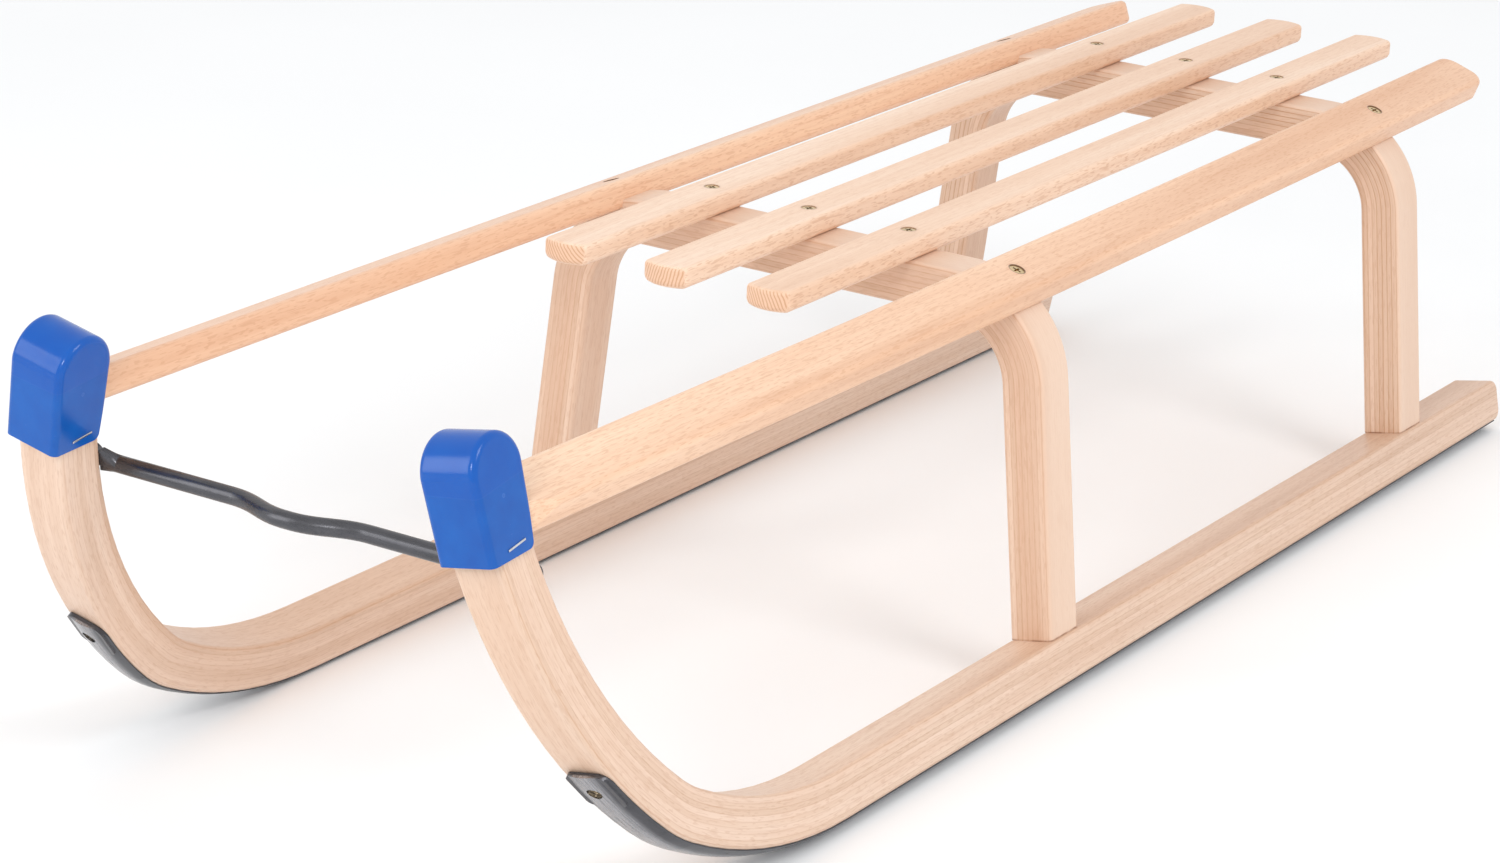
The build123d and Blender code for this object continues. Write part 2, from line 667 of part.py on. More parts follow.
export_step(runner_left.part, "parts/runner_left.step")
export_step(runner_right.part, "parts/runner_right.step")
export_step(shoe_left.part, "parts/shoe_left.step")
export_step(shoe_right.part, "parts/shoe_right.step")
export_step(front_bow.part, "parts/front_bow.step")
export_step(rear_bow.part, "parts/rear_bow.step")
export_step(rail_left.part, "parts/rail_left.step")
export_step(rail_right.part, "parts/rail_right.step")
export_step(seat_slat_left.part, "parts/seat_slat_left.step")
export_step(seat_slat_centre.part, "parts/seat_slat_centre.step")
export_step(seat_slat_right.part, "parts/seat_slat_right.step")
export_step(tip_cap_left.part, "parts/tip_cap_left.step")
export_step(tip_cap_right.part, "parts/tip_cap_right.step")
export_step(cap_staples.part, "parts/cap_staples.step")
export_step(pull_bar.part, "parts/pull_bar.step")
export_step(pull_bar_screws.part, "parts/pull_bar_screws.step")
export_step(seat_slat_screws.part, "parts/seat_slat_screws.step")
export_step(rail_screws.part, "parts/rail_screws.step")
export_step(bow_foot_screws.part, "parts/bow_foot_screws.step")
export_step(shoe_screws_left.part, "parts/shoe_screws_left.step")
export_step(shoe_screws_right.part, "parts/shoe_screws_right.step")
export_step(horn_screws.part, "parts/horn_screws.step")
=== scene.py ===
import bpy
from math import radians, sin, cos
from mathutils import Matrix, Vector

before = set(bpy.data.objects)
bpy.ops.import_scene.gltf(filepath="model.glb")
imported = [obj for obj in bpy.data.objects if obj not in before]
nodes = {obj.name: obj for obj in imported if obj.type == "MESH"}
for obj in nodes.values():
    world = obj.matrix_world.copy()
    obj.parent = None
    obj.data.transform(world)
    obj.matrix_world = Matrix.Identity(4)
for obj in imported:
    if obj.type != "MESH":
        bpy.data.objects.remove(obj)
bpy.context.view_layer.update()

# runner plane, shared with the CAD: the runners lean in by this much
LEAN = radians(11.4)
RUNNER_Y = 0.172
# front bend of the sole: it starts at this x, under the first arc's centre
BEND_X = 0.286


# ---------------------------------------------------------------- node helpers
class Graph:
    def __init__(self, name):
        self.mat = bpy.data.materials.new(name)
        self.mat.use_nodes = True
        self.nt = self.mat.node_tree
        self.nt.nodes.clear()
        self.out = self.nt.nodes.new("ShaderNodeOutputMaterial")
        self.bsdf = self.nt.nodes.new("ShaderNodeBsdfPrincipled")
        self.nt.links.new(self.bsdf.outputs[0], self.out.inputs[0])
        self.coord = self.nt.nodes.new("ShaderNodeTexCoord")

    def link(self, a, b):
        self.nt.links.new(a, b)

    def put(self, sock, value):
        if hasattr(value, "links"):
            self.link(value, sock)
        else:
            sock.default_value = value

    def math(self, op, a, b=0.0, c=None, clamp=False):
        n = self.nt.nodes.new("ShaderNodeMath")
        n.operation = op
        n.use_clamp = clamp
        self.put(n.inputs[0], a)
        self.put(n.inputs[1], b)
        if c is not None:
            self.put(n.inputs[2], c)
        return n.outputs[0]

    def sep(self, vec=None):
        n = self.nt.nodes.new("ShaderNodeSeparateXYZ")
        self.link(vec if vec is not None else self.coord.outputs["Object"], n.inputs[0])
        return n.outputs

    def comb(self, x, y, z):
        n = self.nt.nodes.new("ShaderNodeCombineXYZ")
        self.put(n.inputs[0], x)
        self.put(n.inputs[1], y)
        self.put(n.inputs[2], z)
        return n.outputs[0]

    def noise(self, vec, scale, detail=4.0, rough=0.55, distort=0.0):
        n = self.nt.nodes.new("ShaderNodeTexNoise")
        self.link(vec, n.inputs["Vector"])
        n.inputs["Scale"].default_value = scale
        n.inputs["Detail"].default_value = detail
        n.inputs["Roughness"].default_value = rough
        n.inputs["Distortion"].default_value = distort
        return n.outputs["Fac"]

    def ramp(self, fac, stops, interp="LINEAR"):
        n = self.nt.nodes.new("ShaderNodeValToRGB")
        n.color_ramp.interpolation = interp
        els = n.color_ramp.elements
        while len(els) > 1:
            els.remove(els[-1])
        els[0].position = stops[0][0]
        els[0].color = tuple(stops[0][1]) + (1.0,) if len(stops[0][1]) == 3 else stops[0][1]
        for p, c in stops[1:]:
            e = els.new(p)
            e.color = tuple(c) + (1.0,) if len(c) == 3 else c
        self.link(fac, n.inputs[0])
        return n.outputs[0]

    def step(self, fac, a, b, lo=0.0, hi=1.0):
        n = self.nt.nodes.new("ShaderNodeMapRange")
        n.interpolation_type = "SMOOTHSTEP"
        self.put(n.inputs[0], fac)
        n.inputs[1].default_value = a
        n.inputs[2].default_value = b
        n.inputs[3].default_value = lo
        n.inputs[4].default_value = hi
        return n.outputs[0]

    def mix(self, fac, a, b, kind="MIX"):
        n = self.nt.nodes.new("ShaderNodeMix")
        n.data_type = "RGBA"
        n.blend_type = kind
        n.clamp_result = True
        self.put(n.inputs["Factor"], fac)
        for sock, v in ((n.inputs["A"], a), (n.inputs["B"], b)):
            pass
        ins = [s for s in n.inputs if s.type == "RGBA"]
        for sock, v in zip(ins, (a, b)):
            if hasattr(v, "links"):
                self.link(v, sock)
            else:
                sock.default_value = (*v, 1.0) if len(v) == 3 else v
        return [s for s in n.outputs if s.type == "RGBA"][0]

    def bump(self, height, strength, distance, normal=None):
        n = self.nt.nodes.new("ShaderNodeBump")
        n.inputs["Strength"].default_value = strength
        n.inputs["Distance"].default_value = distance
        self.link(height, n.inputs["Height"])
        if normal is not None:
            self.link(normal, n.inputs["Normal"])
        return n.outputs[0]


def lin(r, g, b):
    """sRGB 0..255 to linear."""
    out = []
    for c in (r, g, b):
        c /= 255.0
        out.append(c / 12.92 if c <= 0.04045 else ((c + 0.055) / 1.055) ** 2.4)
    return tuple(out)


def beech(name, frame_of, pale, mid, deep, plies=0.0, seed=0.0, fleck=1.0, rough=0.40,
          ply_dark=0.5, foot=None, ends=False, drift=0.25, calm_top=0.0,
          heads=None, face_veneer_and_top_light=0.0):
    """Lacquered beech. frame_of(g) gives (along, across, through) in metres: along the
    grain, across the board and through its plies."""
    g = Graph(name)
    along, across, through = frame_of(g)
    a = g.math("ADD", along, seed * 3.7)
    dark = tuple(c * k for c, k in zip(deep, (0.74, 0.58, 0.44)))
    # slow tone drift, in streaks that follow the grain
    streak = g.noise(g.comb(g.math("MULTIPLY", a, 1.3), g.math("MULTIPLY", across, 42.0),
                            g.math("MULTIPLY", through, 42.0)), 1.0, 5.0, 0.6, drift)
    col = g.ramp(streak, [(0.32, deep), (0.50, mid), (0.66, pale)])
    # growth lines, drawn out along the grain
    ring_n = g.noise(g.comb(g.math("MULTIPLY", a, 1.2), g.math("MULTIPLY", across, 18.0),
                            g.math("MULTIPLY", through, 18.0)), 1.0, 2.0, 0.5)
    ring = g.math("SINE", g.math("MULTIPLY", g.math("ADD", g.math("MULTIPLY", ring_n, 0.045),
                  g.math("ADD", across, g.math("MULTIPLY", through, 0.6))), 1700.0))
    ring = g.step(ring, 0.1, 1.0)
    col = g.mix(g.math("MULTIPLY", ring, 0.20), col, deep)
    # the short dark flecks of beech, a few millimetres long
    f1 = g.noise(g.comb(g.math("MULTIPLY", a, 170.0), g.math("MULTIPLY", across, 1250.0),
                        g.math("MULTIPLY", through, 1250.0)), 1.0, 0.0, 0.4)
    f2 = g.noise(g.comb(g.math("MULTIPLY", a, 75.0), g.math("MULTIPLY", across, 700.0),
                        g.math("MULTIPLY", through, 700.0)), 1.0, 1.0, 0.5)
    flecks = g.math("MAXIMUM", g.step(f1, 0.60, 0.70), g.math("MULTIPLY", g.step(f2, 0.58, 0.70), 0.85))
    if calm_top:
        # the flat faces show less fleck than the edges
        up_n = g.nt.nodes.new("ShaderNodeNewGeometry")
        upward = g.step(g.math("ABSOLUTE", g.sep(up_n.outputs["Normal"])[2]), 0.70, 0.95)
        flecks = g.math("MULTIPLY", flecks, g.math("SUBTRACT", 1.0, g.math("MULTIPLY", upward, calm_top)))
    col = g.mix(g.math("MULTIPLY", flecks, 0.34 * fleck), col, dark)
    # very fine fibre
    fibre = g.noise(g.comb(g.math("MULTIPLY", a, 24.0), g.math("MULTIPLY", across, 3000.0),
                           g.math("MULTIPLY", through, 3000.0)), 1.0, 2.0, 0.6)
    col = g.mix(g.math("MULTIPLY", g.step(fibre, 0.42, 0.75), 0.14), col, dark)
    height = g.math("ADD", g.math("MULTIPLY", fibre, 0.5), g.math("MULTIPLY", flecks, -0.35))
    if plies:
        # glued plies: each a slightly different tone, with a fine line between them
        sway = g.noise(g.comb(g.math("MULTIPLY", a, 5.0), 0.0, 0.0), 1.0, 1.0, 0.5)
        pos = g.math("DIVIDE", g.math("ADD", through, g.math("MULTIPLY", g.math("ADD", sway, 2.5),
                     plies * 0.16)), plies)
        cell = g.math("FLOOR", pos)
        frac = g.math("FRACT", pos)
        hashed = g.math("FRACT", g.math("ABSOLUTE", g.math("MULTIPLY", g.math("SINE",
                        g.math("ADD", g.math("MULTIPLY", cell, 12.9898), seed)), 43.7585)))
        tone = g.ramp(hashed, [(0.0, (0.87, 0.82, 0.77)), (0.35, (0.94, 0.92, 0.89)), (0.6, (0.98, 0.97, 0.96)),
                               (1.0, (1.0, 1.0, 1.0))])
        col = g.mix(1.0, col, tone, "MULTIPLY")
        edge = g.math("SUBTRACT", 0.5, g.math("ABSOLUTE", g.math("SUBTRACT", frac, 0.5)))
        wob = g.noise(g.comb(g.math("MULTIPLY", a, 18.0), g.math("MULTIPLY", cell, 3.1), 0.0), 1.0, 2.0, 0.5)
        line = g.step(edge, 0.03, 0.15, 1.0, 0.0)
        strong = g.step(hashed, 0.15, 0.55, 1.0, 0.45)
        line = g.math("MULTIPLY", g.math("MULTIPLY", line, strong), g.step(wob, 0.25, 0.6, 0.5, 1.0))
        col = g.mix(g.math("MULTIPLY", line, ply_dark), col, dark)
        height = g.math("SUBTRACT", height, g.math("MULTIPLY", line, 0.7))
        if face_veneer_and_top_light:
            # the outermost veneer is drawn paler: partly a clean face veneer, partly painted light that brightens
            # the bow's top face
            outer = g.step(through, 0.0006, 0.0016, 1.0, 0.0)
            col = g.mix(g.math("MULTIPLY", outer, face_veneer_and_top_light), col, tuple(0.5 * (p + q) for p, q in zip(pale, mid)))
    if ends:
        # sawn ends: curved growth rings and pores in place of long grain
        geo = g.nt.nodes.new("ShaderNodeNewGeometry")
        nx = g.sep(geo.outputs["Normal"])[0]
        mask = g.step(g.math("ABSOLUTE", nx), 0.55, 0.85)
        dy = g.math("SUBTRACT", across, 0.05 * sin(seed * 5.0))
        dz = g.math("SUBTRACT", through, 0.05 * cos(seed * 5.0))
        warp = g.noise(g.comb(0.0, g.math("MULTIPLY", across, 160.0), g.math("MULTIPLY", through, 160.0)),
                       1.0, 2.0, 0.5)
        rad = g.math("ADD", g.math("SQRT", g.math("ADD", g.math("MULTIPLY", dy, dy), g.math("MULTIPLY", dz, dz))),
                     g.math("MULTIPLY", warp, 0.0012))
        arcs = g.step(g.math("SINE", g.math("MULTIPLY", rad, 3400.0)), -0.2, 0.9)
        pores = g.step(g.noise(g.comb(0.0, across, through), 3600.0, 1.0, 0.5), 0.55, 0.68)
        end = g.mix(g.math("MULTIPLY", arcs, 0.70), tuple(0.5 * (p + q) for p, q in zip(mid, deep)), dark)
        end = g.mix(g.math("MULTIPLY", pores, 0.35), end, dark)
        col = g.mix(mask, col, end)
        height = g.math("SUBTRACT", height, g.math("MULTIPLY", g.math("MULTIPLY", mask, arcs), 0.5))
    # handling marks: a few soft darker patches, and a warmer tint here and there
    blot = g.noise(g.coord.outputs["Object"], 26.0, 3.0, 0.6)
    col = g.mix(g.math("MULTIPLY", g.step(blot, 0.60, 0.78), 0.10), col, dark)
    warm = g.noise(g.coord.outputs["Object"], 7.0, 2.0, 0.5)
    col = g.mix(g.math("MULTIPLY", g.step(warm, 0.45, 0.70), 0.16), col, tuple(c * k for c, k in zip(mid, (1.0, 0.90, 0.80))))
    if heads is not None:
        # painted shadow of a gap round each screw head, whose head sits flush with the wood, and a soft darker
        # halo out to 4 mm beyond it: (across, head radius, strength of the painted shadow)
        a0, head_r, rim_shadow_k = heads
        near = None
        for x0 in (0.051, -0.403):
            dx = g.math("SUBTRACT", along, x0)
            da = g.math("SUBTRACT", across, a0)
            rho = g.math("SQRT", g.math("ADD", g.math("MULTIPLY", dx, dx), g.math("MULTIPLY", da, da)))
            near = rho if near is None else g.math("MINIMUM", near, rho)
        rim_shadow = g.step(near, head_r + 0.0002, head_r + 0.0008, 1.0, 0.0)
        halo = g.step(near, head_r + 0.0005, head_r + 0.0040, 1.0, 0.0)
        col = g.mix(g.math("MULTIPLY", halo, 0.12), col, dark)
        # painted shadow: a dark ring at each head's rim
        col = g.mix(g.math("MULTIPLY", rim_shadow, rim_shadow_k), col, lin(84, 56, 34))
    if foot is not None:
        # glue and shadow line where the foot stands on the runner
        k = foot(g)
        col = g.mix(g.math("MULTIPLY", k, 0.8), col, lin(128, 78, 44))
    g.link(col, g.bsdf.inputs["Base Color"])
    r = g.math("ADD", g.math("MULTIPLY", fibre, 0.16), rough - 0.08)
    r = g.math("ADD", r, g.math("MULTIPLY", flecks, 0.08))
    g.link(r, g.bsdf.inputs["Roughness"])
    g.link(g.bump(height, 0.32, 0.00022), g.bsdf.inputs["Normal"])
    g.bsdf.inputs["Coat Weight"].default_value = 0.18
    g.bsdf.inputs["Coat Roughness"].default_value = 0.30
    g.bsdf.inputs["Specular IOR Level"].default_value = 0.40
    return g.mat


def bow_foot(g):
    x, y, z = g.sep()
    ys = g.math("SUBTRACT", g.math("ABSOLUTE", y), RUNNER_Y)
    zz = g.math("SUBTRACT", z, 0.00479)
    v = g.math("SUBTRACT", g.math("MULTIPLY", zz, cos(LEAN)), g.math("MULTIPLY", ys, sin(LEAN)))
    wob = g.noise(g.coord.outputs["Object"], 120.0, 2.0, 0.5)
    return g.math("MULTIPLY", g.step(v, 0.0268, 0.0277, 1.0, 0.0), g.step(wob, 0.35, 0.6, 0.35, 1.0))


def board_frame(y0=0.0, turn=0.0, z0=0.0):
    """Straight boards: grain along X."""
    def f(g):
        x, y, z = g.sep()
        yy = g.math("SUBTRACT", y, y0)
        zz = g.math("SUBTRACT", z, z0)
        c, s = cos(turn), sin(turn)
        across = g.math("ADD", g.math("MULTIPLY", yy, c), g.math("MULTIPLY", zz, -s))
        through = g.math("ADD", g.math("MULTIPLY", yy, s), g.math("MULTIPLY", zz, c))
        return x, across, through
    return f


# centres of the three arcs of the sole (x, v), metres, and their radii
R1, R2, R3 = 0.284, 0.104, 0.305
A1, A2 = radians(28), radians(40)
C1 = (BEND_X, R1)
P1 = (C1[0] + R1 * sin(A1), C1[1] - R1 * cos(A1))
C2 = (P1[0] - R2 * sin(A1), P1[1] + R2 * cos(A1))
P2 = (C2[0] + R2 * sin(A2), C2[1] - R2 * cos(A2))
C3 = (P2[0] - R3 * sin(A2), P2[1] + R3 * cos(A2))


def runner_frame(side):
    """Bent runner: along the bend, across it, and depth from the sole through the plies."""
    def f(g):
        x, y, z = g.sep()
        ys = g.math("SUBTRACT", g.math("MULTIPLY", y, side), RUNNER_Y)
        zz = g.math("SUBTRACT", z, 0.00479)
        u = g.math("ADD", g.math("MULTIPLY", ys, cos(LEAN)), g.math("MULTIPLY", zz, sin(LEAN)))
        v = g.math("SUBTRACT", g.math("MULTIPLY", zz, cos(LEAN)), g.math("MULTIPLY", ys, sin(LEAN)))

        def arc(c, r, start_s, start_a):
            dx = g.math("SUBTRACT", x, c[0])
            dv = g.math("SUBTRACT", c[1], v)
            rad = g.math("SQRT", g.math("ADD", g.math("MULTIPLY", dx, dx), g.math("MULTIPLY", dv, dv)))
            ang = g.math("ARCTAN2", dx, dv)
            s = g.math("ADD", g.math("MULTIPLY", g.math("SUBTRACT", ang, start_a), r), start_s)
            return s, g.math("SUBTRACT", r, rad), ang

        s1 = BEND_X
        s2 = s1 + R1 * A1
        s3 = s2 + R2 * (A2 - A1)
        sa, da, aa = arc(C1, R1, s1, 0.0)
        sb, db, ab = arc(C2, R2, s2, A1)
        sc, dc, ac = arc(C3, R3, s3, A2)
        bent = g.math("GREATER_THAN", x, BEND_X)
        in2 = g.math("GREATER_THAN", aa, A1)
        in3 = g.math("GREATER_THAN", ab, A2)

        def pick(k, lo, hi):
            return g.math("ADD", lo, g.math("MULTIPLY", k, g.math("SUBTRACT", hi, lo)))

        s = pick(in2, sa, pick(in3, sb, sc))
        d = pick(in2, da, pick(in3, db, dc))
        s = pick(bent, x, s)
        d = pick(bent, v, d)
        return s, u, d
    return f


def bow_frame(x0):
    """Bent bow: along the hoop, across it (X), and depth from the outer face."""
    lean = radians(6.2)
    r = 0.0625
    zc = 0.2315 - r
    yc = 0.182 - (r + zc * sin(lean)) / cos(lean)
    turn = radians(83.8)

    def f(g):
        x, y, z = g.sep()
        ay = g.math("ABSOLUTE", y)
        leg = g.math("SUBTRACT", g.math("MULTIPLY", g.math("SUBTRACT", 0.182, ay), cos(lean)),
                     g.math("MULTIPLY", z, sin(lean)))
        top = g.math("SUBTRACT", 0.2315, z)
        dy = g.math("SUBTRACT", ay, yc)
        dz = g.math("SUBTRACT", z, zc)
        climb = g.math("SUBTRACT", g.math("MULTIPLY", dz, cos(lean)), g.math("MULTIPLY", dy, sin(lean)))
        rad = g.math("SUBTRACT", r, g.math("SQRT", g.math("ADD", g.math("MULTIPLY", dy, dy),
                     g.math("MULTIPLY", dz, dz))))
        ang = g.math("ARCTAN2", dy, dz)
        on_leg = g.math("LESS_THAN", climb, 0.0)
        on_top = g.math("LESS_THAN", dy, 0.0)

        def pick(k, lo, hi):
            return g.math("ADD", lo, g.math("MULTIPLY", k, g.math("SUBTRACT", hi, lo)))

        d = pick(on_top, rad, top)
        d = pick(on_leg, d, leg)
        s_cor = g.math("ADD", yc, g.math("MULTIPLY", ang, 0.05))
        s_leg = g.math("SUBTRACT", yc + turn * 0.05, climb)
        s = pick(on_top, s_cor, ay)
        s = pick(on_leg, s, s_leg)
        return s, g.math("SUBTRACT", x, x0), d
    return f


def steel(name, base, rough, spread, metallic=1.0, scratch=(1.0, 1.0, 1.0), wear_and_highlight=None, rust=0.0):
    g = Graph(name)
    obj = g.coord.outputs["Object"]
    x, y, z = g.sep()
    sc = g.comb(g.math("MULTIPLY", x, scratch[0]), g.math("MULTIPLY", y, scratch[1]),
                g.math("MULTIPLY", z, scratch[2]))
    lines = g.noise(sc, 900.0, 3.0, 0.65)
    cloud = g.noise(obj, 60.0, 4.0, 0.6)
    lo = tuple(c * 0.72 for c in base)
    hi = tuple(min(1.0, c * 1.22) for c in base)
    col = g.ramp(g.math("ADD", g.math("MULTIPLY", lines, 0.5), g.math("MULTIPLY", cloud, 0.5)),
                 [(0.30, lo), (0.52, base), (0.72, hi)])
    r = g.math("ADD", rough, g.math("MULTIPLY", g.math("SUBTRACT", lines, 0.5), spread))
    if rust:
        spots = g.step(g.noise(obj, 190.0, 5.0, 0.7), 0.62, 0.72)
        col = g.mix(g.math("MULTIPLY", spots, rust), col, lin(92, 58, 38))
        r = g.math("ADD", r, g.math("MULTIPLY", spots, 0.2))
    # brightened crown: real wear, and a painted highlight band in the colour
    if wear_and_highlight is not None:
        k = wear_and_highlight(g)
        col = g.mix(k, col, lin(196, 196, 200))
        r = g.math("SUBTRACT", r, g.math("MULTIPLY", k, 0.14))
    g.link(col, g.bsdf.inputs["Base Color"])
    g.link(g.math("MAXIMUM", r, 0.08), g.bsdf.inputs["Roughness"])
    g.bsdf.inputs["Metallic"].default_value = metallic
    g.link(g.bump(lines, 0.12, 0.0001), g.bsdf.inputs["Normal"])
    return g.mat


def shoe_wear_and_highlight(side):
    def f(g):
        s, u, d = runner_frame(side)(g)
        # worn bright along the crown, on the outside of the strip, and lightened there as a painted highlight
        # band
        k = g.step(g.math("ABSOLUTE", u), 0.0105, 0.003)
        wav = g.noise(g.comb(g.math("MULTIPLY", s, 40.0), g.math("MULTIPLY", u, 1500.0), 0.0), 1.0, 3.0, 0.6)
        return g.math("MULTIPLY", g.math("MULTIPLY", k, g.step(d, -0.0022, -0.0034)),
                      g.step(wav, 0.3, 0.7, 0.3, 0.75))
    return f


def blue_plastic(name, side):
    g = Graph(name)
    obj = g.coord.outputs["Object"]
    x, y, z = g.sep()
    ys = g.math("SUBTRACT", g.math("MULTIPLY", y, side), RUNNER_Y)
    zz = g.math("SUBTRACT", z, 0.00479)
    u = g.math("ADD", g.math("MULTIPLY", ys, cos(LEAN)), g.math("MULTIPLY", zz, sin(LEAN)))
    v = g.math("SUBTRACT", g.math("MULTIPLY", zz, cos(LEAN)), g.math("MULTIPLY", ys, sin(LEAN)))
    base = lin(0, 84, 170)
    hi = lin(2, 89, 175)
    lo = lin(0, 79, 165)
    cloud = g.noise(obj, 70.0, 3.0, 0.5)
    col = g.ramp(cloud, [(0.30, lo), (0.52, base), (0.74, hi)])
    # parting line: level round the front, climbing to the back along the flanks
    level = g.math("ADD", g.math("SUBTRACT", 0.2407, g.math("MULTIPLY", u, 0.05)),
                   g.math("MULTIPLY", g.math("SUBTRACT", 0.547, x), 0.14))
    seam = g.math("SUBTRACT", v, level)
    line = g.step(g.math("ABSOLUTE", seam), 0.00012, 0.0004, 1.0, 0.0)
    # the moulding is a touch deeper in colour above the line
    col = g.mix(g.math("MULTIPLY", g.step(seam, -0.0006, 0.0006), 0.4), col, lin(0, 78, 172))
    col = g.mix(g.math("MULTIPLY", line, 0.03), col, lin(110, 155, 225))
    # gate mark low on each flank
    dx = g.math("SUBTRACT", x, 0.5305)
    dv = g.math("SUBTRACT", v, 0.2370)
    spot = g.math("SQRT", g.math("ADD", g.math("MULTIPLY", dx, dx), g.math("MULTIPLY", dv, dv)))
    gate = g.math("MULTIPLY", g.step(spot, 0.0009, 0.0013, 1.0, 0.0), g.step(spot, 0.0004, 0.0008, 0.4, 1.0))
    gate = g.math("MULTIPLY", gate, g.step(g.math("ABSOLUTE", u), 0.0150, 0.0158))
    col = g.mix(g.math("MULTIPLY", gate, 0.16), col, lin(110, 155, 225))
    # fine moulded texture, faint whitish scuffs
    grain = g.noise(obj, 2600.0, 2.0, 0.5)
    scuff = g.noise(g.comb(g.math("MULTIPLY", x, 260.0), g.math("MULTIPLY", y, 260.0),
                    g.math("MULTIPLY", z, 900.0)), 1.0, 4.0, 0.65)
    marks = g.step(scuff, 0.66, 0.78)
    col = g.mix(g.math("MULTIPLY", marks, 0.10), col, lin(120, 160, 225))
    g.link(col, g.bsdf.inputs["Base Color"])
    g.link(g.math("ADD", 0.13, g.math("ADD", g.math("MULTIPLY", grain, 0.10), g.math("MULTIPLY", marks, 0.14))),
           g.bsdf.inputs["Roughness"])
    h = g.math("ADD", g.math("MULTIPLY", grain, 0.20), g.math("MULTIPLY", line, -0.35))
    h = g.math("ADD", h, g.math("MULTIPLY", gate, 0.8))
    wave = g.noise(obj, 55.0, 1.0, 0.5)
    n1 = g.bump(wave, 0.10, 0.0012)
    g.link(g.bump(h, 0.30, 0.00018, n1), g.bsdf.inputs["Normal"])
    g.bsdf.inputs["Specular IOR Level"].default_value = 0.38
    return g.mat


# ---------------------------------------------------------------- materials
rail_pale, rail_mid, rail_deep = lin(245, 213, 184), lin(237, 197, 166), lin(222, 175, 141)
far_pale, far_mid, far_deep = lin(241, 203, 171), lin(233, 188, 155), lin(219, 168, 133)
slat_pale, slat_mid, slat_deep = lin(244, 217, 194), lin(237, 203, 176), lin(224, 184, 154)
run_pale, run_mid, run_deep = lin(237, 214, 196), lin(228, 199, 178), lin(212, 178, 154)
bow_pale, bow_mid, bow_deep = lin(233, 207, 187), lin(226, 195, 172), lin(214, 177, 151)

RAIL_TURN = radians(19.6)
mats = {
    "runner_left": beech("beech_runner_left", runner_frame(1), run_pale, run_mid, run_deep, 0.0030, 1.3,
                         0.7, ply_dark=0.5),
    "runner_right": beech("beech_runner_right", runner_frame(-1), run_pale, run_mid, run_deep, 0.0030, 2.9,
                          0.7, ply_dark=0.5),
    "front_bow": beech("beech_front_bow", bow_frame(0.051), bow_pale, bow_mid, bow_deep, 0.0032, 4.1,
                       0.6, ply_dark=0.85, foot=bow_foot, face_veneer_and_top_light=0.6),
    "rear_bow": beech("beech_rear_bow", bow_frame(-0.403), bow_pale, bow_mid, bow_deep, 0.0032, 5.6,
                      0.6, ply_dark=0.85, foot=bow_foot, face_veneer_and_top_light=0.6),
    "rail_left": beech("beech_rail_left", board_frame(0.1322, RAIL_TURN, 0.2272), rail_pale, rail_mid,
                       rail_deep, 0.0, 6.2, 0.85, 0.38, ends=True, heads=(-0.0006, 0.0045, 0.8)),
    "rail_right": beech("beech_rail_right", board_frame(-0.1322, -RAIL_TURN, 0.2272), far_pale, far_mid,
                        far_deep, 0.0, 7.7, 0.8, 0.38, ends=True, heads=(0.0006, 0.0045, 0.8)),
    "seat_slat_left": beech("beech_slat_left", board_frame(0.065, 0.0, 0.238), slat_pale, slat_mid, slat_deep,
                            0.0, 8.4, 1.2, ends=True, calm_top=0.6,
                            heads=(0.0, 0.0042, 0.45)),
    "seat_slat_centre": beech("beech_slat_centre", board_frame(0.0, 0.0, 0.238), slat_pale, slat_mid, slat_deep,
                              0.0, 9.8, 1.2, ends=True, calm_top=0.6,
                            heads=(0.0, 0.0042, 0.45)),
    "seat_slat_right": beech("beech_slat_right", board_frame(-0.065, 0.0, 0.238), slat_pale, slat_mid,
                             slat_deep, 0.0, 11.5, 1.2, ends=True, calm_top=0.6,
                            heads=(0.0, 0.0042, 0.45)),
    "shoe_left": steel("shoe_steel_left", lin(84, 84, 88), 0.33, 0.2, 1.0, (0.03, 1, 1), shoe_wear_and_highlight(1), 0.25),
    "shoe_right": steel("shoe_steel_right", lin(84, 84, 88), 0.33, 0.2, 1.0, (0.03, 1, 1), shoe_wear_and_highlight(-1), 0.25),
    "tip_cap_left": blue_plastic("cap_plastic_left", 1),
    "tip_cap_right": blue_plastic("cap_plastic_right", -1),
    "pull_bar": steel("bar_steel", lin(84, 84, 88), 0.28, 0.12, 0.75, (1, 0.06, 1), None, 0.12),
}
zinc = steel("zinc_steel", lin(222, 196, 152), 0.24, 0.12, 1.0, (1, 1, 1), None, 0.0)
staple = steel("staple_steel", lin(206, 207, 210), 0.22, 0.12, 1.0, (1, 1, 0.2), None, 0.0)
bolt = steel("bolt_steel", lin(120, 120, 124), 0.32, 0.15, 1.0, (1, 1, 1), None, 0.06)
mats["cap_staples"] = staple
mats["pull_bar_screws"] = bolt
for n in nodes:
    mats.setdefault(n, zinc)

for n, o in nodes.items():
    o.data.materials.clear()
    o.data.materials.append(mats[n])

# ---------------------------------------------------------------- floor and light
size = 9.0
mesh = bpy.data.meshes.new("floor")
mesh.from_pydata([(-size, -size, 0), (size, -size, 0), (size, size, 0), (-size, size, 0)], [], [(0, 1, 2, 3)])
floor = bpy.data.objects.new("floor", mesh)
bpy.context.scene.collection.objects.link(floor)
floor.location.z = -0.0002
g = Graph("floor_pale")
tone = g.noise(g.coord.outputs["Object"], 3.0, 3.0, 0.5)
g.link(g.ramp(tone, [(0.3, (0.935, 0.945, 0.955)), (0.7, (0.95, 0.96, 0.97))]), g.bsdf.inputs["Base Color"])
g.bsdf.inputs["Roughness"].default_value = 0.9
g.bsdf.inputs["Specular IOR Level"].default_value = 0.1
floor.data.materials.append(g.mat)

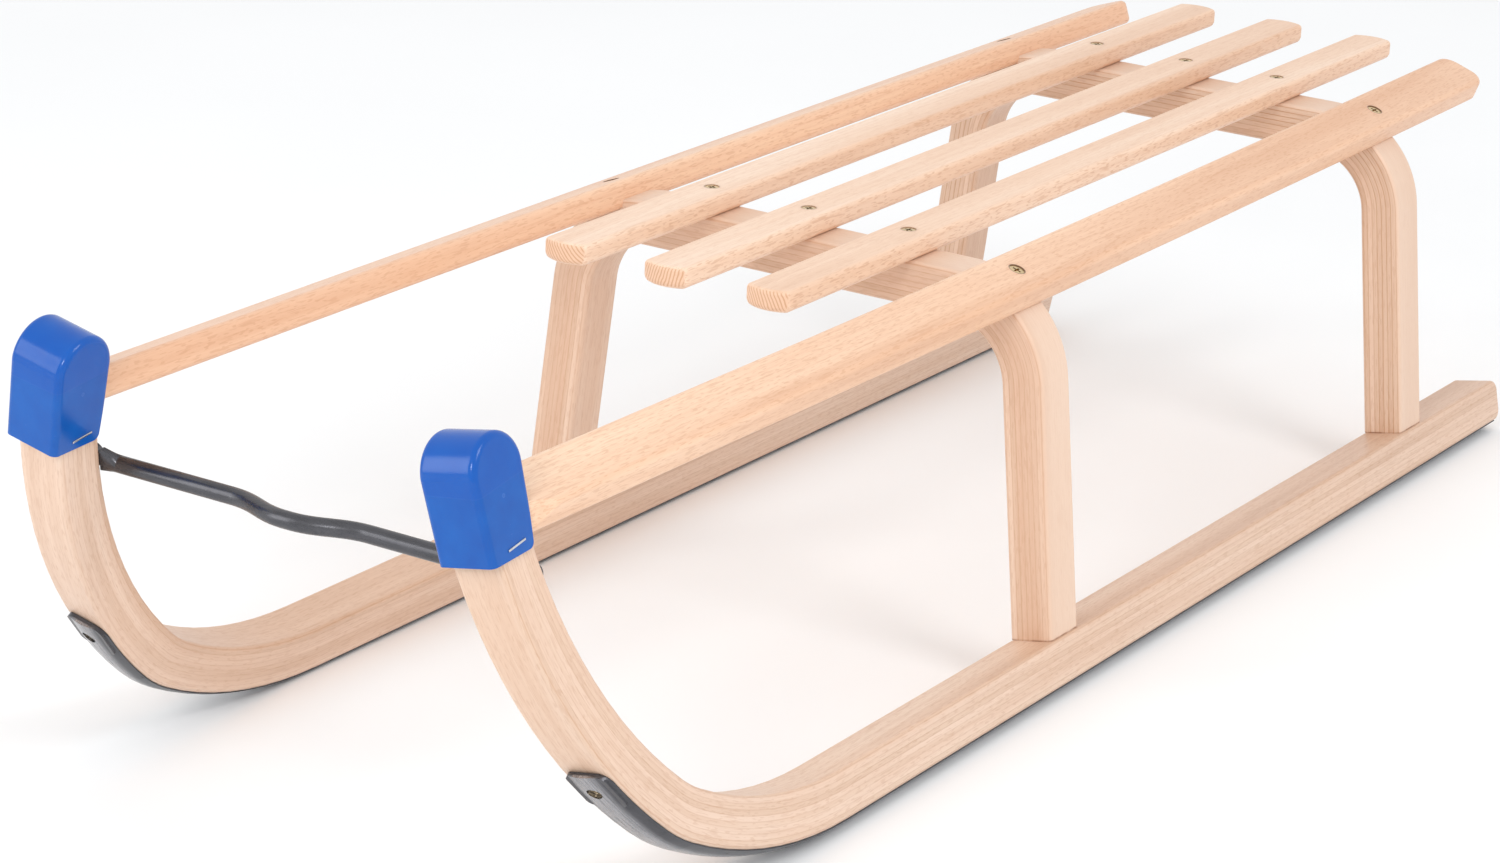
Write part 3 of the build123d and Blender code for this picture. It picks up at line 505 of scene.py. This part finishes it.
world = bpy.data.worlds.new("studio")
bpy.context.scene.world = world
world.use_nodes = True
wt = world.node_tree
bg = wt.nodes["Background"]
bg.inputs[0].default_value = (1.0, 1.0, 1.0, 1.0)
wc = wt.nodes.new("ShaderNodeTexCoord")
ws = wt.nodes.new("ShaderNodeSeparateXYZ")
wt.links.new(wc.outputs["Generated"], ws.inputs[0])
wr = wt.nodes.new("ShaderNodeMapRange")
wr.interpolation_type = "SMOOTHSTEP"
wr.inputs[1].default_value = 0.02
wr.inputs[2].default_value = 0.75
wr.inputs[3].default_value = 0.93
wr.inputs[4].default_value = 0.92
wt.links.new(ws.outputs[2], wr.inputs[0])
wt.links.new(wr.outputs[0], bg.inputs[1])


def area(name, loc, target, size_x, size_y, power, colour=(1, 1, 1)):
    data = bpy.data.lights.new(name, "AREA")
    data.shape = "RECTANGLE"
    data.size = size_x
    data.size_y = size_y
    data.energy = power
    data.color = colour
    o = bpy.data.objects.new(name, data)
    o.location = loc
    o.rotation_euler = (Vector(target) - Vector(loc)).to_track_quat("-Z", "Y").to_euler()
    bpy.context.scene.collection.objects.link(o)
    return o


area("key", (0.4, 1.9, 1.9), (0, 0, 0.12), 0.9, 0.9, 14)
area("front", (2.4, 0.5, 1.3), (0.3, 0, 0.12), 0.5, 0.5, 11)
area("left_of_view", (2.2, -1.6, 1.0), (0.2, 0, 0.15), 0.8, 1.6, 12)

# ---------------------------------------------------------------- camera
az, el, roll = radians(32.392), radians(17.58), radians(2.4414)
back = Vector((cos(az) * cos(el), sin(az) * cos(el), sin(el)))
fwd = -back
right = fwd.cross(Vector((0, 0, 1))).normalized()
up = right.cross(fwd)
c, s = cos(roll), sin(roll)
r2 = right * c + up * s
u2 = up * c - right * s
K = 0.947
pos = Vector((2.28799 * K - 0.176, 1.26068 * K, 0.93894 * K + 0.00479))
cam_data = bpy.data.cameras.new("camera")
cam_data.sensor_fit = "HORIZONTAL"
cam_data.sensor_width = 36.0
cam_data.lens = 4243.5 / 1500.0 * 36.0
cam_data.shift_x = (750.0 - 748.13) / 1500.0
cam_data.shift_y = (327.34 - 431.5) / 1500.0
cam_data.clip_start = 0.05
cam = bpy.data.objects.new("camera", cam_data)
bpy.context.scene.collection.objects.link(cam)
m = Matrix.Identity(4)
for i in range(3):
    m[i][0] = r2[i]
    m[i][1] = u2[i]
    m[i][2] = back[i]
    m[i][3] = pos[i]
cam.matrix_world = m
bpy.context.scene.camera = cam
bpy.context.scene.view_settings.view_transform = "Standard"
